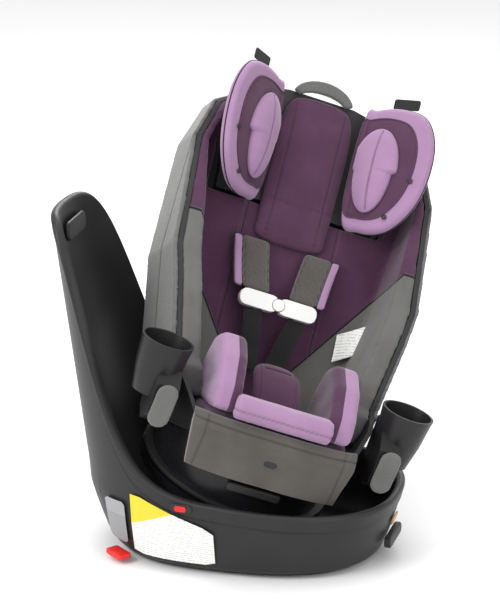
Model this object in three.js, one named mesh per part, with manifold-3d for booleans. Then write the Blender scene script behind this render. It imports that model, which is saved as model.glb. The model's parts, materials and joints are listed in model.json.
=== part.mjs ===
// Rotating convertible child seat: a boat-shaped base with a tall rear panel, a reclining cradle that rocks
// in the base, a turntable on the cradle, and a padded bucket seat with a sliding headrest on the turntable.
//
// Frame: millimetres, +Z up, origin at the middle of the base's underside, +X from the rear panel to the bow.
// The seat is modelled in the turntable's own frame: +x the way the child faces, +y the child's left, +z along
// the axis it turns about. At rest the cradle is reclined and the seat is turned part of the way round.

import * as THREE from 'three';
import { mergeVertices } from 'three/addons/utils/BufferGeometryUtils.js';
import Module from 'manifold-3d';

const wasm = await Module();
wasm.setup();

const deg = Math.PI / 180;

// ---------------------------------------------------------------- driving dimensions

const gap = 0.4;                 // air left between touching pieces

// base
const baseLength = 580;
const baseWidth = 404;
const baseTaper = 0.86;          // underside outline over rim outline
const baseSquareness = 2.5;      // superellipse exponent of the plan outline
const baseWall = 16;
const baseFloor = 12;
const footHeight = 4;
const bowHeight = 116;           // rim height at the bow
const panelHeight = 585;         // top of the rear panel
const panelHalf = 0.25;          // half its breadth, as a share of the way round the rim to the bow
const panelSplit = 150;          // height of the parting line between hull and panel
const rearDraw = 46;             // how far the rear wall's foot is drawn in
const panelLean = 30;            // how far the panel's top leans out

// recline cradle and turntable
const reclineTilt = 22;          // tilt of the turning axis toward the bow at rest
const rockerCentreX = 64;
const rockerCentreZ = 300;
const rockerRadius = 180;        // rocking centre to the turntable's underside plane
const turntableRadius = 168;
const turntableThick = 12;
const cradleThick = 16;
const seatTurn = -68;            // heading of the seat from the bow at rest
const pinRadius = 6;             // rotation lock pin
const pinX = 108;

// seat bucket
const cushionPitch = 22;         // cushion plane over the turntable plane
const backAngle = 16;            // back past square to the cushion
const bightX = -77;              // cushion origin in the turntable frame
const bightZ = 36;
const cushionLength = 262;
const shellHalfWidth = 220;      // at the shoulders
const shellWaist = 172;          // beside the cushion
const shellFoot = 135;           // at its underside
const sweepRadius = 172;         // what turns below the base's rim stays inside this
const sweepHeight = 52;
const rimSweepRadius = 214;      // and what passes just over the rim inside this
const rimSweepHeight = 100;
const shellWall = 8;
const backHeight = 585;          // along the back
const padThick = 22;             // back and seat padding
const coverThick = 7;            // grey outer covers

// headrest
const headrestTravel = 120;
const wingSplay = 46;            // wings open outward by this
const wingHeight = 240;
const wingDepth = 150;
const wingThick = 34;
const headHalfWidth = 68;        // centre panel

// harness
const webWidth = 34;
const webThick = 3;
const shoulderPadWidth = 52;
const shoulderPadLength = 96;
const shoulderPadThick = 14;
const clipLength = 144;
const clipHeight = 30;
const clipThick = 15;

// cup holders
const cupRadius = 44;
const cupDepth = 96;
const cupWall = 4;

// ---------------------------------------------------------------- materials

const paint = (color, roughness, metalness = 0) => new THREE.MeshStandardMaterial({ color, roughness, metalness });
const looks = {
  shellBlack: () => paint(0x2b2b2d, 0.55),
  tubBlack: () => paint(0x141415, 0.35),
  darkPlastic: () => paint(0x37373a, 0.5),
  rubber: () => paint(0x1a1a1a, 0.9),
  steel: () => paint(0x8d9093, 0.35, 0.9),
  red: () => paint(0xc42018, 0.4),
  tan: () => paint(0xa8834a, 0.5),
  labelWhite: () => paint(0xe9e9e6, 0.6),
  labelGrey: () => paint(0x8e8f92, 0.55),
  greyFabric: () => paint(0x6a6a67, 0.95),
  warmFabric: () => paint(0x55514e, 0.95),
  lightPurple: () => paint(0xb08ab4, 0.95),
  darkPurple: () => paint(0x5a3a56, 0.95),
  webbing: () => paint(0x1f1f20, 0.8),
  padGrey: () => paint(0x585450, 0.9),
  clipWhite: () => paint(0xdcdcda, 0.4),
};

// ---------------------------------------------------------------- geometry tools

function solid(geometry) {
  // closed three.js mesh -> manifold solid
  const bare = geometry.clone();
  bare.deleteAttribute('normal');
  bare.deleteAttribute('uv');
  const merged = mergeVertices(bare, 1e-4);
  return new wasm.Manifold(new wasm.Mesh({
    numProp: 3,
    vertProperties: new Float32Array(merged.attributes.position.array),
    triVerts: new Uint32Array(merged.index.array),
  }));
}

function geometryOf(manifold) {
  const got = manifold.getMesh();
  const geometry = new THREE.BufferGeometry();
  geometry.setAttribute('position', new THREE.BufferAttribute(new Float32Array(got.vertProperties), 3));
  geometry.setIndex(new THREE.BufferAttribute(new Uint32Array(got.triVerts), 1));
  return geometry;
}

const cut = (a, ...rest) => geometryOf(rest.reduce((s, g) => s.subtract(solid(g)), solid(a)));
const join = (a, ...rest) => geometryOf(rest.reduce((s, g) => s.add(solid(g)), solid(a)));
const common = (a, ...rest) => geometryOf(rest.reduce((s, g) => s.intersect(solid(g)), solid(a)));

function outline(points) {
  const shape = new THREE.Shape();
  points.forEach(([x, y], i) => (i ? shape.lineTo(x, y) : shape.moveTo(x, y)));
  shape.closePath();
  return shape;
}

function prismZ(points, z0, z1) {
  // plan outline (x, y) raised from z0 to z1
  const geometry = new THREE.ExtrudeGeometry(outline(points), { depth: z1 - z0, bevelEnabled: false });
  return geometry.translate(0, 0, z0);
}

function prismY(points, y0, y1) {
  // side outline (x, z) carried from y0 to y1
  const geometry = new THREE.ExtrudeGeometry(outline(points), { depth: y1 - y0, bevelEnabled: false });
  return geometry.rotateX(Math.PI / 2).translate(0, y1, 0);
}

function prismX(points, x0, x1) {
  // front outline (y, z) carried from x0 to x1
  const geometry = new THREE.ExtrudeGeometry(outline(points), { depth: x1 - x0, bevelEnabled: false });
  return geometry.rotateX(Math.PI / 2).rotateZ(Math.PI / 2).translate(x0, 0, 0);
}

function loft(rings) {
  // closed solid through rings of equal length, each ring an array of [x, y, z], ends closed by fans
  const n = rings[0].length;
  const position = rings.flat(2);
  const middle = (ring) => ring.reduce((s, p) => [s[0] + p[0] / n, s[1] + p[1] / n, s[2] + p[2] / n], [0, 0, 0]);
  position.push(...middle(rings[0]), ...middle(rings.at(-1)));
  const first = rings.length * n;
  const index = [];
  for (let k = 0; k < rings.length - 1; k += 1) {
    for (let i = 0; i < n; i += 1) {
      const a = k * n + i;
      const b = k * n + ((i + 1) % n);
      index.push(a, b, b + n, a, b + n, a + n);
    }
  }
  const last = (rings.length - 1) * n;
  for (let i = 0; i < n; i += 1) {
    const j = (i + 1) % n;
    index.push(first, j, i, first + 1, last + i, last + j);
  }
  const geometry = new THREE.BufferGeometry();
  geometry.setAttribute('position', new THREE.Float32BufferAttribute(position, 3));
  geometry.setIndex(index);
  return geometry;
}

function roundRect(width, height, radius, steps = 3) {
  // rounded rectangle about the origin, anticlockwise
  const points = [];
  const corners = [[1, 1], [-1, 1], [-1, -1], [1, -1]];
  corners.forEach(([sx, sy], k) => {
    for (let i = 0; i <= steps; i += 1) {
      const a = (k + i / steps) * Math.PI / 2;
      points.push([sx * (width / 2 - radius) + radius * Math.cos(a), sy * (height / 2 - radius) + radius * Math.sin(a)]);
    }
  });
  return points;
}

function ellipse(a, b, count = 24, from = 0, to = 360) {
  const whole = to - from === 360;
  const steps = whole ? count : count - 1;
  return Array.from({ length: count }, (_, i) => {
    const t = (from + (to - from) * i / steps) * deg;
    return [a * Math.cos(t), b * Math.sin(t)];
  });
}

function pillow(points, thick, shrink = 0.86) {
  // crowned pad: an outline in the y-z plane swelling to its full size half way through its thickness in x
  const ring = (scale, x) => points.map(([y, z]) => [x, y * scale, z * scale]);
  return loft([ring(shrink, 0), ring(1, thick * 0.35), ring(1, thick * 0.65), ring(shrink, thick)]);
}

const mirrorY = (geometry) => {
  // the other hand of a piece: y turned over and the triangles rewound
  const other = geometry.index ? geometry.toNonIndexed() : geometry.clone();
  other.deleteAttribute('normal');
  other.deleteAttribute('uv');
  const p = other.attributes.position;
  const flipped = new Float32Array(p.array.length);
  for (let t = 0; t < p.count; t += 3) {
    [t, t + 2, t + 1].forEach((from, k) => {
      flipped.set([p.getX(from), -p.getY(from), p.getZ(from)], (t + k) * 3);
    });
  }
  const geometryOut = new THREE.BufferGeometry();
  geometryOut.setAttribute('position', new THREE.BufferAttribute(flipped, 3));
  return mergeVertices(geometryOut, 1e-4);
};

// ---------------------------------------------------------------- scene graph

const product = new THREE.Group();
const recline = new THREE.Group();
const turntable = new THREE.Group();
const seat = new THREE.Group();
const cushionFrame = new THREE.Group();
const backFrame = new THREE.Group();

recline.position.set(rockerCentreX, 0, rockerCentreZ);
recline.rotation.y = reclineTilt * deg;
turntable.position.z = -rockerRadius;
seat.rotation.z = seatTurn * deg;
cushionFrame.position.set(bightX, 0, bightZ);
cushionFrame.rotation.y = -cushionPitch * deg;
backFrame.position.x = 10;
backFrame.rotation.y = -backAngle * deg;
product.add(recline);
recline.add(turntable);
turntable.add(seat);
seat.add(cushionFrame);
cushionFrame.add(backFrame);

function put(parent, name, geometry, material, place = {}) {
  const mesh = new THREE.Mesh(geometry, material());
  mesh.name = name;
  if (place.at) mesh.position.set(...place.at);
  if (place.turn) mesh.rotation.set(...place.turn.map((a) => a * deg));
  parent.add(mesh);
  return mesh;
}

// ---------------------------------------------------------------- base

function planPoint(angle, inset, taper) {
  // point of the base's plan outline, angle 0 at the bow
  const power = 2 / baseSquareness;
  const c = Math.cos(angle);
  const s = Math.sin(angle);
  const x = Math.sign(c) * Math.abs(c) ** power * (baseLength / 2 - inset) * taper;
  const y = Math.sign(s) * Math.abs(s) ** power * (baseWidth / 2 - inset) * taper;
  return [x, y];
}

function drawIn(angle, z) {
  // shift of the rear wall toward the middle, fading to nothing at the panel's top
  return rearDraw * Math.max(0, -Math.cos(angle)) * Math.max(0, 1 - z / panelHeight);
}

function wallPoint(angle, inset, z) {
  const [x, y] = planPoint(angle, inset, lean(z));
  return [x + drawIn(angle, z), y, z];
}

function rimHeight(angle) {
  // the rim runs low round the bow and sweeps up the sides into the rear panel
  const off = Math.abs(Math.PI - Math.abs(angle)) / Math.PI;
  const rise = 1 / (1 + (off / panelHalf) ** 5);
  return bowHeight + 14 * (1 - off) + (panelHeight - bowHeight - 14) * rise;
}

function lean(z) {
  // walls flare from the underside to the rim
  return baseTaper + (1 - baseTaper) * Math.min(1, z / bowHeight) ** 0.7;
}

function baseHull() {
  const count = 48;
  const rings = [];
  const heights = [0, 0.12, 0.5, 1];
  const around = Array.from({ length: count }, (_, i) => -Math.PI + 2 * Math.PI * i / count);
  const top = (angle) => Math.min(panelSplit, rimHeight(angle));
  rings.push(around.map((a) => wallPoint(a, 14, 0).with(2, footHeight)));
  heights.forEach((h) => {
    rings.push(around.map((a) => {
      const z = footHeight + 6 + (top(a) - footHeight - 6) * h;
      return wallPoint(a, 0, z);
    }));
  });
  rings.push(around.map((a) => wallPoint(a, baseWall, top(a))));
  rings.push(around.map((a) => wallPoint(a, baseWall, 40).with(2, footHeight + 40)));
  rings.push(around.map((a) => wallPoint(a, baseWall + 26, 0).with(2, footHeight + baseFloor)));
  return loft(rings);
}

function rearPanel() {
  // tall curved wall: the hull's wall carried up round the rear, leaning out a little toward its top
  const count = 33;
  const start = 0.60 * Math.PI;
  const angles = Array.from({ length: count }, (_, i) => start + (2 * Math.PI - 2 * start) * i / (count - 1));
  const wall = (a, inset, z) => {
    const [x, y] = planPoint(a, inset, 1);
    const rise = Math.max(0, z - panelSplit) / (panelHeight - panelSplit);
    const out = panelLean * rise * Math.max(0, -Math.cos(a));
    return [x - out + drawIn(a, z), y, z];
  };
  const rings = angles.map((a) => {
    const signed = a > Math.PI ? a - 2 * Math.PI : a;
    const foot = panelSplit + gap;
    const top = Math.max(foot + 18, rimHeight(signed));
    const mid = (foot + top) / 2;
    return [wall(a, 0, foot), wall(a, baseWall, foot), wall(a, baseWall, mid), wall(a, baseWall - 2, top - 5),
      wall(a, baseWall - 7, top), wall(a, 5, top), wall(a, 0, top - 6), wall(a, 0, mid)];
  });
  return loft(rings);
}

function trackPlate() {
  // floor plate of the base with the two tracks that the cradle's rockers run beside
  const plate = prismZ(ellipse(158, 112, 32), footHeight + baseFloor + gap, footHeight + baseFloor + gap + 5);
  const track = (y) => prismZ(roundRect(180, 12, 4).map(([x, v]) => [x, v + y]), footHeight + baseFloor + 3,
    footHeight + baseFloor + 12);
  return join(plate, track(100), track(-100));
}

put(product, 'base_hull', baseHull(), looks.shellBlack);
put(product, 'rear_panel', rearPanel(), looks.shellBlack);
put(product, 'track_plate', trackPlate(), looks.tubBlack);



function wallY(x, z) {
  // near side wall's y where the outline passes x, found by halving the angle range
  let low = -Math.PI;
  let high = 0;
  for (let i = 0; i < 40; i += 1) {
    const middle = (low + high) / 2;
    if (wallPoint(middle, 0, z)[0] < x) low = middle;
    else high = middle;
  }
  return wallPoint(low, 0, z)[1];
}

function wallPatch(x0, x1, z0, z1, thick, off, z1End = z1) {
  // thin plate that follows the near side wall in a lower and an upper band, its corners drawn in a little
  const steps = 8;
  const heights = (i) => {
    const end = Math.min(i, steps - i) < 1 ? 5 : 0;
    const low = z0 + end;
    const high = z1 + (z1End - z1) * i / steps - end;
    return [low, (low + high) / 2, high];
  };
  const band = (part) => loft(Array.from({ length: steps + 1 }, (_, i) => {
    const x = x0 + (x1 - x0) * i / steps;
    const [low, high] = heights(i).slice(part, part + 2);
    return [[x, wallY(x, low) - off, low], [x, wallY(x, high) - off, high],
      [x, wallY(x, high) - off - thick, high], [x, wallY(x, low) - off - thick, low]];
  }));
  return join(band(0), band(1));
}

const foot = (x) => prismZ(roundRect(70, 190, 16).map(([u, v]) => [u + x, v]), 0, footHeight - gap);
put(product, 'foot_pad_rear', foot(-150), looks.rubber);
put(product, 'foot_pad_middle', foot(0), looks.rubber);
put(product, 'foot_pad_bow', foot(150), looks.rubber);

const panelFace = (z) => drawIn(Math.PI, z) - (baseLength / 2 - baseWall)
  - panelLean * Math.max(0, z - panelSplit) / (panelHeight - panelSplit);
put(product, 'tether_clip_cover', prismX(roundRect(92, 34, 12), 0, 8), looks.darkPlastic,
  { at: [panelFace(panelHeight - 60) + 2, 0, panelHeight - 44], turn: [0, -4, 0] });
put(product, 'warning_plate', wallPatch(-136, 14, 22, 142, 1.4, gap + 1.4, 88), looks.labelWhite);
put(product, 'lock_window', wallPatch(-62, -22, 119, 135, 1.2, gap + 1), looks.darkPlastic);
put(product, 'lock_indicator', wallPatch(-53, -31, 122, 132, 1.2, gap + 2.8), looks.red);
put(product, 'instruction_plate', wallPatch(-190, -148, 34, 118, 1.4, gap + 2.4), looks.labelGrey);
const tabX = -158;
const tabTurn = Math.atan2(wallY(tabX + 20, 13) - wallY(tabX - 20, 13), 40) / deg;
put(product, 'lockoff_tab', prismY([[-22, -5], [19, -5], [24, 2], [19, 6], [-22, 6]], -26, -1.5), looks.red,
  { at: [tabX, wallY(tabX, 19) - 5, 13], turn: [0, 0, tabTurn] });
const gaugeZ = 66;
const gaugeSlope = Math.atan(baseLength / 2 * (lean(gaugeZ + 8) - lean(gaugeZ - 8)) / 16) / deg;
put(product, 'level_gauge', prismX(roundRect(34, 16, 5), 0, 3), looks.tan,
  { at: [baseLength / 2 * lean(gaugeZ) + 2 * gap, 0, gaugeZ], turn: [0, gaugeSlope, 0] });
put(product, 'recline_handle', prismX(roundRect(84, 20, 8), 0, 12), looks.darkPlastic,
  { at: [baseLength / 2 * lean(34) + 4, 0, 34] });

// ---------------------------------------------------------------- recline cradle and turntable

function cradle() {
  // plate under the turntable with two curved rockers, all about the rocking centre
  const plate = prismZ(ellipse(turntableRadius, turntableRadius - 2, 40),
    -turntableThick - cradleThick, -turntableThick - gap);
  const arc = ellipse(rockerRadius + 52, rockerRadius + 52, 14, 245, 295);
  const runner = [...arc.map(([x, z]) => [x, z + rockerRadius]), [80, -20], [-80, -20]];
  const rocker = (y) => prismY(runner, y - 9, y + 9);
  const indexHole = (x) => prismZ(ellipse(pinRadius + gap, pinRadius + gap, 24).map(([u, v]) => [u + x, v]), -60, 0);
  return cut(join(plate, rocker(62), rocker(-62)), indexHole(pinX), indexHole(-pinX));
}
put(turntable, 'recline_cradle', cradle(), looks.tubBlack);
put(turntable, 'bearing_ring', cut(prismZ(ellipse(150, 150, 40), 0, 5), prismZ(ellipse(118, 118, 40), -1, 6)),
  looks.steel, { at: [0, 0, -turntableThick] });

const round = (radius, z0, z1, x) => prismZ(ellipse(radius, radius, 24).map(([u, v]) => [u + x, v]), z0, z1);
put(seat, 'turntable_disc', cut(prismZ(ellipse(turntableRadius, turntableRadius, 48), -turntableThick + 5 + gap, 0),
  round(pinRadius + gap, -40, 5, pinX)), looks.shellBlack);
put(seat, 'rotation_lock_pin', round(pinRadius, -turntableThick, 14, pinX), looks.steel);
const lever = prismX(roundRect(96, 16, 6), 0, 10);
put(seat, 'rotation_lever', lever, looks.darkPlastic, { at: [turntableRadius - 7, 0, 44] });


// ---------------------------------------------------------------- seat bucket

const cosB = Math.cos(backAngle * deg);
const sinB = Math.sin(backAngle * deg);
const onBack = (x, z) => [10 + x * cosB - z * sinB, x * sinB + z * cosB];   // back frame -> cushion frame

const cushionTop = padThick + 16;
const shellBack = -padThick - shellWall;
const sideProfile = [
  [cushionLength, -14], [cushionLength + 6, 6], [cushionLength - 30, 46], [196, 78], [150, 100],
  onBack(150, 190), onBack(112, 330), onBack(78, 440), onBack(52, 520), onBack(10, backHeight),
  onBack(shellBack, backHeight), onBack(shellBack - 14, 420), onBack(shellBack - 18, 200),
  [-64, 10], [-44, -16], [60, -24],
];
const frontProfile = [
  [-shellFoot, -110], [-shellFoot, -70], [-shellWaist, 10],
  [-shellHalfWidth, 250], [-shellHalfWidth, 460], [-shellHalfWidth + 26, 540],
  [-shellHalfWidth + 90, backHeight], [shellHalfWidth - 90, backHeight], [shellHalfWidth - 26, 540],
  [shellHalfWidth, 460], [shellHalfWidth, 250], [shellWaist, 10], [shellFoot, -70], [shellFoot, -110],
];
const toBack = (geometry) => geometry.rotateY(-backAngle * deg).translate(10, 0, 0);
const inset = (points, by) => points.map(([y, z]) => [y - Math.sign(y) * by, z]);
const headroom = toBack(prismX([[-168, 470], [168, 470], [168, 900], [-168, 900]], -padThick, 420));
const bucket = (by) => toBack(prismX(inset(frontProfile, by), -200, 420));
const insideSide = (lift) => [
  [cushionLength + 60, 2 + lift], [cushionLength + 60, 700], onBack(lift - padThick, 900), onBack(lift - padThick, 30),
  onBack(lift + 6, 8 + lift), [40 + lift, 2 + lift],
];

const outside = (radius, top) => cut(
  prismZ(roundRect(700, 700, 10), -100, top), prismZ(ellipse(radius, radius, 48), -101, top + 1));
const belowRim = join(outside(sweepRadius, sweepHeight), outside(rimSweepRadius, rimSweepHeight))
  .translate(-bightX, 0, -bightZ).rotateY(cushionPitch * deg);   // turntable frame -> cushion frame

function seatShell() {
  const block = cut(common(prismY(sideProfile, -230, 230), bucket(0)), belowRim);
  const room = common(prismY(insideSide(0), -230, 230), bucket(shellWall));
  const slot = toBack(prismX(roundRect(26, headrestTravel, 10).map(([y, z]) => [y, z + 540]), -80, 0));
  return cut(block, room, headroom, slot);
}
put(cushionFrame, 'seat_shell', seatShell(), looks.darkPlastic);

function backCover() {
  // quilted cover lining the bucket: back and side walls above the cushion
  const outer = common(prismY(sideProfile, -230, 230), prismY(insideSide(gap), -230, 230), bucket(shellWall + gap));
  const above = prismY([[176, cushionTop + gap], [176, 900], [-400, 900], [-400, cushionTop + gap]],
    -230, 230);
  const wall = (y, z) => [y - Math.sign(y) * (shellWall + (z > 300 ? 14 : 36)), z];
  const inner = toBack(prismX(frontProfile.map(([y, z]) => wall(y, z)), 0, 420));
  const upper = toBack(prismX([[-166, 394], [166, 394], [166, 900], [-166, 900]], -80, 60));
  return cut(common(outer, above), inner, upper, headroom);
}
put(cushionFrame, 'back_cover', backCover(), looks.darkPurple);

put(cushionFrame, 'seat_cushion', prismY([
  [20, 12], [44, 2 + 2 * gap], [cushionLength - 4, 2 + 2 * gap], [cushionLength - 2, cushionTop - 12],
  [cushionLength - 40, cushionTop], [16, cushionTop],
], -126, 126), looks.darkPurple);

function sideCover() {
  // grey cover over the outside of the bucket, wrapped a little past its front edge
  return common(prismY(sideProfile, 0, 260), bucket(-coverThick));
}
const cupSpace = prismY([[166, -100], [400, -100], [400, 175], [166, 175]], -1, 300);
const behindHead = prismY([[-400, 380], [400, 380], [400, 900], [-400, 900]], -1, 150);
const underSeat = prismY([[-300, -120], [400, -120], [400, 20], [-300, 20]], -1, 300);
const leftCover = cut(sideCover(), bucket(-gap), cupSpace, headroom, belowRim, behindHead, underSeat);
put(cushionFrame, 'side_cover_left', leftCover, looks.greyFabric);
put(cushionFrame, 'side_cover_right', mirrorY(leftCover), looks.greyFabric);


function pedestal() {
  // lower body between the turntable and the bucket's underside
  const drum = prismZ(ellipse(turntableRadius - 8, turntableRadius - 14, 40), gap, 240);
  const c = Math.cos(cushionPitch * deg);
  const n = Math.sin(cushionPitch * deg);
  const under = (d, z) => [bightX + d * c - z * n, bightZ + d * n + z * c];
  const below = prismY([[-200, -10], [200, -10], under(cushionLength - 2, -15 - 2 * gap), under(60, -24 - 2 * gap),
    under(-44, -16 - 2 * gap), [-200, 2]], -230, 230);
  return common(drum, below);
}
put(seat, 'seat_pedestal', cut(pedestal(), round(pinRadius + gap, -1, 34, pinX)), looks.tubBlack);

// soft insert, apron and crotch pad, in the cushion frame
const overCushion = (points) => points.map(([x, z]) => [x, z + cushionTop]);
const bolsterOutline = overCushion([[98, 2], [116, 66], [144, 106], [190, 116], [236, 88], [268, 40], [270, 4]]);
const bolster = prismY(bolsterOutline, 84, 119);
put(cushionFrame, 'insert_bolster_left', bolster, looks.lightPurple);
put(cushionFrame, 'insert_bolster_right', mirrorY(bolster), looks.lightPurple);
put(cushionFrame, 'insert_front_roll', prismY(overCushion([
  [236, 2], [262, 3], [280, -6], [290, 2], [292, 16], [284, 28], [262, 32], [240, 22],
]), -83, 83), looks.lightPurple);
put(cushionFrame, 'crotch_pad', prismZ(roundRect(92, 84, 26).map(([x, y]) => [x + 180, y]), cushionTop + gap, cushionTop + 16),
  looks.darkPurple);

const apronSide = [[cushionLength + 8, 26], [cushionLength + 26, 20], [cushionLength + 30, -6], [cushionLength + 6, -70],
  [cushionLength - 8, -68], [cushionLength + 2, -16], [cushionLength + 8, 6]];
put(cushionFrame, 'front_apron', cut(prismY(apronSide, -145, 145),
  prismX(roundRect(44, 18, 8).map(([y, z]) => [y, z - 26]), cushionLength + 6, cushionLength + 60)), looks.warmFabric);
put(cushionFrame, 'harness_release_button', prismX(roundRect(22, 10, 4), 0, 7), looks.darkPlastic,
  { at: [cushionLength + 16, 0, -26], turn: [0, 8, 0] });

// cup holders, each a cup on a bracket that plugs down beside the cushion
const cupX = 224;
const cupY = shellWaist + cupRadius + 1;
const cupTop = 121;
const cupSteps = [[0.70, 0], [0.9, 0.45], [1, 0.86], [1.04, 1]];
const cupRing = (radius, z) => ellipse(radius, radius, 28).map(([x, y]) => [x, y, z]);
const cupHolder = () => loft(cupSteps.map(([r, h]) => cupRing(cupRadius * r, (h - 1) * cupDepth)));
const cupRoom = () => loft(cupSteps.map(([r, h]) => cupRing(cupRadius * r - cupWall,
  (h - 1) * (cupDepth - cupWall) + 0.01 * (h === 1))));

const levelCup = [0, cushionPitch - 8, 0];
const armOutline = [[-34, -30], [26, -40], [52, -62], [60, -96], [50, -122], [22, -138], [-14, -128], [-30, -92]];
['left', 'right'].forEach((side) => {
  const y = side === 'left' ? cupY : -cupY;
  const arm = prismY(armOutline, -cupY + shellWaist + 8, -cupY + shellWaist + 49);
  const hand = side === 'left' ? arm : mirrorY(arm);
  const cup = cut(join(cupHolder(), hand), cupRoom());
  put(cushionFrame, `cup_holder_${side}`, cup, looks.shellBlack, { at: [cupX, y, cupTop], turn: levelCup });
});
const inlay = pillow(roundRect(36, 80, 17, 4), 6);
[['left', 1], ['right', -1]].forEach(([side, hand]) => {
  put(cushionFrame, `cup_inlay_${side}`, inlay.clone(), looks.greyFabric,
    { at: [cupX + 37, hand * (shellWaist + 28), cupTop - 106], turn: [0, cushionPitch - 2, 0] });
});

// ---------------------------------------------------------------- harness, in the back frame

function strap(points, width, thick) {
  // flat webbing through [x, y, z] points of the back frame, its width across y
  const rings = points.map(([x, y, z]) => [[x, y - width / 2, z], [x, y + width / 2, z],
    [x + thick, y + width / 2, z], [x + thick, y - width / 2, z]]);
  return loft(rings.map((r) => r.slice().reverse()));
}
const clipZ = 214;
const clipX = 36;
const lower = strap([[20, 22, 92], [26, 28, 130], [38, 36, 172], [clipX + 8, 42, clipZ - clipHeight / 2 - 1]],
  webWidth, webThick);
put(backFrame, 'lower_strap_left', lower, looks.webbing);
put(backFrame, 'lower_strap_right', mirrorY(lower), looks.webbing);

function shoulderPad() {
  const z0 = clipZ + clipHeight / 2 + 3;
  const row = (t) => [18 - 10 * t + 14 * (1 - t), 44 + 16 * t, z0 + shoulderPadLength * t];
  return strap([0, 0.25, 0.5, 0.75, 1].map(row), shoulderPadWidth, shoulderPadThick);
}
const half = (hand) => prismX(
  roundRect(clipLength / 2 - 1, clipHeight, 12).map(([y, z]) => [y + hand * clipLength / 4, z]), 0, clipThick);
const buttonHole = prismX(ellipse(11.5, 11.5, 24), -1, clipThick + 1);
[['left', 1], ['right', -1]].forEach(([side, hand]) => {
  put(backFrame, `chest_clip_${side}`, cut(half(hand), buttonHole), looks.clipWhite,
    { at: [clipX, 0, clipZ] });
});
put(backFrame, 'chest_clip_button', prismX(ellipse(10.8, 10.8, 24), 0, 9), looks.clipWhite,
  { at: [clipX + clipThick - 7.5, 0, clipZ] });

const buckle = prismX(roundRect(52, 62, 12), 0, 20);
const buckleWell = prismX(roundRect(30, 26, 5).map(([y, z]) => [y, z - 6]), 8, 24);
const buckleAt = { at: [128, 0, cushionTop + 36], turn: [0, -50, 0] };
put(cushionFrame, 'crotch_buckle', cut(buckle, buckleWell), looks.shellBlack, buckleAt);
put(cushionFrame, 'buckle_button', prismX(roundRect(28, 24, 4).map(([y, z]) => [y, z - 6]), 13.6, 21.5),
  looks.red, buckleAt);

// ---------------------------------------------------------------- headrest, in the back frame

put(backFrame, 'headrest_shell', cut(
  prismX([[-150, 400], [150, 400], [158, 560], [120, 600], [62, 612], [-62, 612], [-120, 600], [-158, 560]],
    -padThick + 2 * gap, -gap),
  prismX(roundRect(30, 90, 10).map(([y, z]) => [y, z + 530]), -60, 30)), looks.darkPlastic);
put(backFrame, 'headrest_pad', prismX([
  [-58, 332], [58, 332], [headHalfWidth, 400], [headHalfWidth, 560],
  [44, 604], [-44, 604], [-headHalfWidth, 560], [-headHalfWidth, 400],
], gap, 22), looks.darkPurple);

const wingOutline = [
  [0, -0.381], [0.267, -0.478], [0.613, -0.442], [0.88, -0.248], [1, 0],
  [0.973, 0.265], [0.787, 0.46], [0.467, 0.522], [0.133, 0.496], [0, 0.425],
].map(([x, z]) => [x * wingDepth, z * wingHeight]);
const wing = prismY(wingOutline, 0, wingThick);
const wingAt = { at: [27, headHalfWidth + 7, 496], turn: [0, 0, wingSplay] };
const placed = (geometry, place) => {
  const m = new THREE.Matrix4().compose(new THREE.Vector3(...place.at),
    new THREE.Quaternion().setFromEuler(new THREE.Euler(...place.turn.map((a) => a * deg))), new THREE.Vector3(1, 1, 1));
  return geometry.clone().applyMatrix4(m);
};
const wingLeft = placed(wing, wingAt);
put(backFrame, 'headrest_wing_left', wingLeft, looks.lightPurple);
put(backFrame, 'headrest_wing_right', mirrorY(wingLeft), looks.lightPurple);

const pillowOutline = ellipse(50, 80, 16);
const headPillow = placed(prismY(pillowOutline.map(([x, z]) => [x * (z < 0 ? 0.8 : 1) + 54, z]), -24, -1), wingAt);
const headPadRoom = prismX([[-90, 300], [headHalfWidth + 1, 300], [headHalfWidth + 1, 700], [-90, 700]], -20, 23);
const clearPillow = cut(headPillow, headPadRoom);
put(backFrame, 'head_pillow_left', clearPillow, looks.lightPurple);
put(backFrame, 'head_pillow_right', mirrorY(clearPillow), looks.lightPurple);

const handleArch = ellipse(58, 38, 14, 12, 168);
const handleHole = ellipse(42, 15, 14, 12, 168);
put(backFrame, 'headrest_handle', prismX([...handleArch, ...handleHole.reverse()], 0, 12).translate(2, 0, 604), looks.labelGrey);
const tab = prismX(roundRect(52, 20, 4), -1, 1);
put(backFrame, 'wing_tab_left', tab, looks.webbing, { at: [60, 139, 633], turn: [0, 0, wingSplay + 90] });
put(backFrame, 'wing_tab_right', tab.clone(), looks.webbing, { at: [60, -139, 633], turn: [0, 0, -wingSplay - 90] });
put(backFrame, 'shoulder_pad_left', shoulderPad(), looks.padGrey);
put(backFrame, 'shoulder_pad_right', mirrorY(shoulderPad()), looks.padGrey);

export default product;
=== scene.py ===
"""Rotating convertible child seat: base with a tall rear panel, cradle, turntable, padded bucket
and headrest."""
import json
from math import radians

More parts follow.
